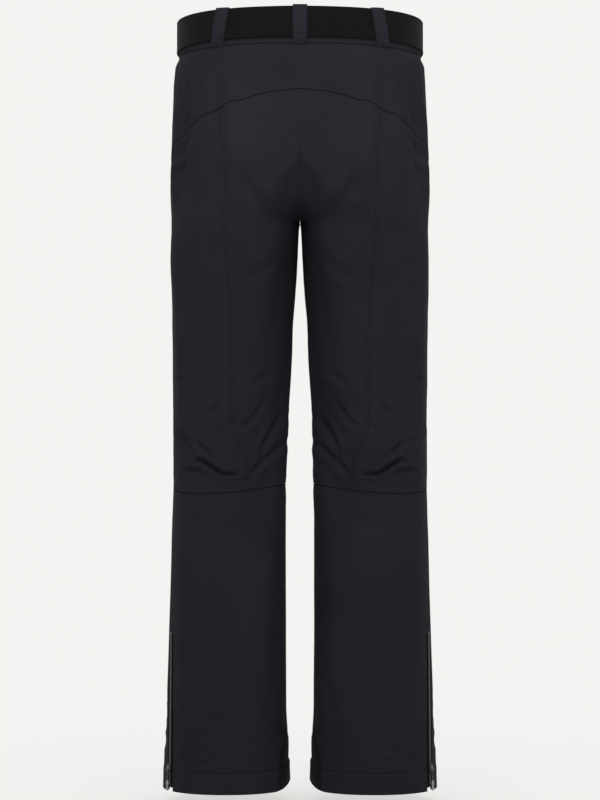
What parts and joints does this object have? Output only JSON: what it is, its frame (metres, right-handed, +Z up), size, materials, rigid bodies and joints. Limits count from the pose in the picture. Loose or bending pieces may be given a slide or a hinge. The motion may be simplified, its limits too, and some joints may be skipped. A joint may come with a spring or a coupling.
{
  "type": "ski pants",
  "caption": "Insulated ski pants in worn shape, with an elastic belt and buckle, curved back yoke, zipped ankles with scuff guards, zipped pockets and a zip fly.",
  "frame": {"origin": "centre of the waist opening, level with the waistband's top edge at the centre back", "axes": "+Z up along the body, front of the pants faces -Y, the wearer's left is +X"},
  "size_m": [0.374, 0.2478, 1.0577],
  "materials": {
    "shell_fabric": "matte woven softshell, near-black navy",
    "guard_fabric": "matte black hard-wearing weave",
    "facing_fabric": "matte plain weave",
    "lining_fabric": "smooth taffeta",
    "wadding": "fleecy wadding",
    "elastic": "ribbed woven elastic",
    "label_fabric": "satin ribbon, blank",
    "zip_tape": "herringbone zip tape",
    "zip_metal": "antique nickel",
    "buckle_metal": "dark nickel"
  },
  "bodies": {
    "pants": {"ankle_gussets": "facing_fabric", "ankle_zip_chain_left": "zip_metal", "ankle_zip_chain_right": "zip_metal", "ankle_zip_tape_left": "zip_tape", "ankle_zip_tape_right": "zip_tape", "back_center_panel_left": "shell_fabric", "back_center_panel_right": "shell_fabric", "back_side_panel_left": "shell_fabric", "back_side_panel_right": "shell_fabric", "back_yoke": "shell_fabric", "belt_loop_back": "shell_fabric", "belt_loops_front": "shell_fabric", "belt_loops_side": "shell_fabric", "belt_tail": "elastic", "belt_tip": "buckle_metal", "belt_webbing": "elastic", "buckle_frame": "buckle_metal", "buckle_pin": "buckle_metal", "calf_panel_left": "shell_fabric", "calf_panel_right": "shell_fabric", "care_label": "label_fabric", "fly_shield": "facing_fabric", "fly_zip_chain": "zip_metal", "fly_zip_tape": "zip_tape", "front_thigh_panel_left": "shell_fabric", "front_thigh_panel_right": "shell_fabric", "gaiter_elastics": "elastic", "gaiter_left": "lining_fabric", "gaiter_right": "lining_fabric", "hem_facings": "facing_fabric", "knee_panel_left": "shell_fabric", "knee_panel_right": "shell_fabric", "leg_insulation": "wadding", "lining_left": "lining_fabric", "lining_right": "lining_fabric", "pocket_bags": "lining_fabric", "pocket_zip_chains": "zip_metal", "pocket_zip_tapes": "zip_tape", "scuff_guard_left": "guard_fabric", "scuff_guard_right": "guard_fabric", "shin_panel_left": "shell_fabric", "shin_panel_right": "shell_fabric", "snap_cap": "buckle_metal", "snap_socket": "buckle_metal", "waistband": "shell_fabric", "waistband_facing": "facing_fabric", "waistband_underlap": "facing_fabric"},
    "ankle_slider_left": {"ankle_slider_left": "zip_metal"},
    "ankle_pull_left": {"ankle_pull_left": "zip_metal"},
    "pocket_slider_left": {"pocket_slider_left": "zip_metal"},
    "pocket_pull_left": {"pocket_pull_left": "zip_metal"},
    "ankle_slider_right": {"ankle_slider_right": "zip_metal"},
    "ankle_pull_right": {"ankle_pull_right": "zip_metal"},
    "pocket_slider_right": {"pocket_slider_right": "zip_metal"},
    "pocket_pull_right": {"pocket_pull_right": "zip_metal"},
    "fly_slider": {"fly_slider": "zip_metal"},
    "fly_pull": {"fly_pull": "zip_metal"},
    "buckle_lever": {"buckle_lever": "buckle_metal"},
    "belt_keeper": {"belt_keeper": "buckle_metal"}
  },
  "joints": [
    {"name": "ankle_zip_left", "type": "slide", "parent": "pants", "child": "ankle_slider_left", "axis": [-0.0068, -0.0796, 0.9968], "range_m": [0, 0.17]},
    {"name": "ankle_pull_swing_left", "type": "hinge", "parent": "ankle_slider_left", "child": "ankle_pull_left", "pos_m": [0.17981, 0.04672, -1.0263], "axis": [-0.3619, 0.9294, 0.0717], "range_deg": [-150, 0]},
    {"name": "pocket_zip_left", "type": "slide", "parent": "pants", "child": "pocket_slider_left", "axis": [0.227, 0.1431, -0.9633], "range_m": [0, 0.118]},
    {"name": "pocket_pull_swing_left", "type": "hinge", "parent": "pocket_slider_left", "child": "pocket_pull_left", "pos_m": [0.12832, -0.08108, -0.09151], "axis": [-0.7114, -0.6511, -0.2644], "range_deg": [0, 150]},
    {"name": "ankle_zip_right", "type": "slide", "parent": "pants", "child": "ankle_slider_right", "axis": [0.0068, -0.0796, 0.9968], "range_m": [0, 0.17]},
    {"name": "ankle_pull_swing_right", "type": "hinge", "parent": "ankle_slider_right", "child": "ankle_pull_right", "pos_m": [-0.17981, 0.04672, -1.0263], "axis": [-0.3619, -0.9294, -0.0717], "range_deg": [-150, 0]},
    {"name": "pocket_zip_right", "type": "slide", "parent": "pants", "child": "pocket_slider_right", "axis": [-0.227, 0.1431, -0.9633], "range_m": [0, 0.118]},
    {"name": "pocket_pull_swing_right", "type": "hinge", "parent": "pocket_slider_right", "child": "pocket_pull_right", "pos_m": [-0.12832, -0.08108, -0.09151], "axis": [-0.7114, 0.6511, 0.2644], "range_deg": [0, 150]},
    {"name": "fly_zip", "type": "slide", "parent": "pants", "child": "fly_slider", "axis": [0, 0.014, -0.9999], "range_m": [0, 0.1]},
    {"name": "fly_pull_swing", "type": "hinge", "parent": "fly_slider", "child": "fly_pull", "pos_m": [0, -0.10097, -0.08131], "axis": [-1, 0, 0], "range_deg": [0, 4]},
    {"name": "buckle_lever_swing", "type": "hinge", "parent": "pants", "child": "buckle_lever", "pos_m": [-0.012, -0.1121, -0.03885], "axis": [0, 0.0051, 1], "range_deg": [-100, 0]},
    {"name": "belt_keeper_slide", "type": "slide", "parent": "pants", "child": "belt_keeper", "axis": [0.9862, 0.1656, 0.0084], "range_m": [-0.006, 0.006]}
  ]
}
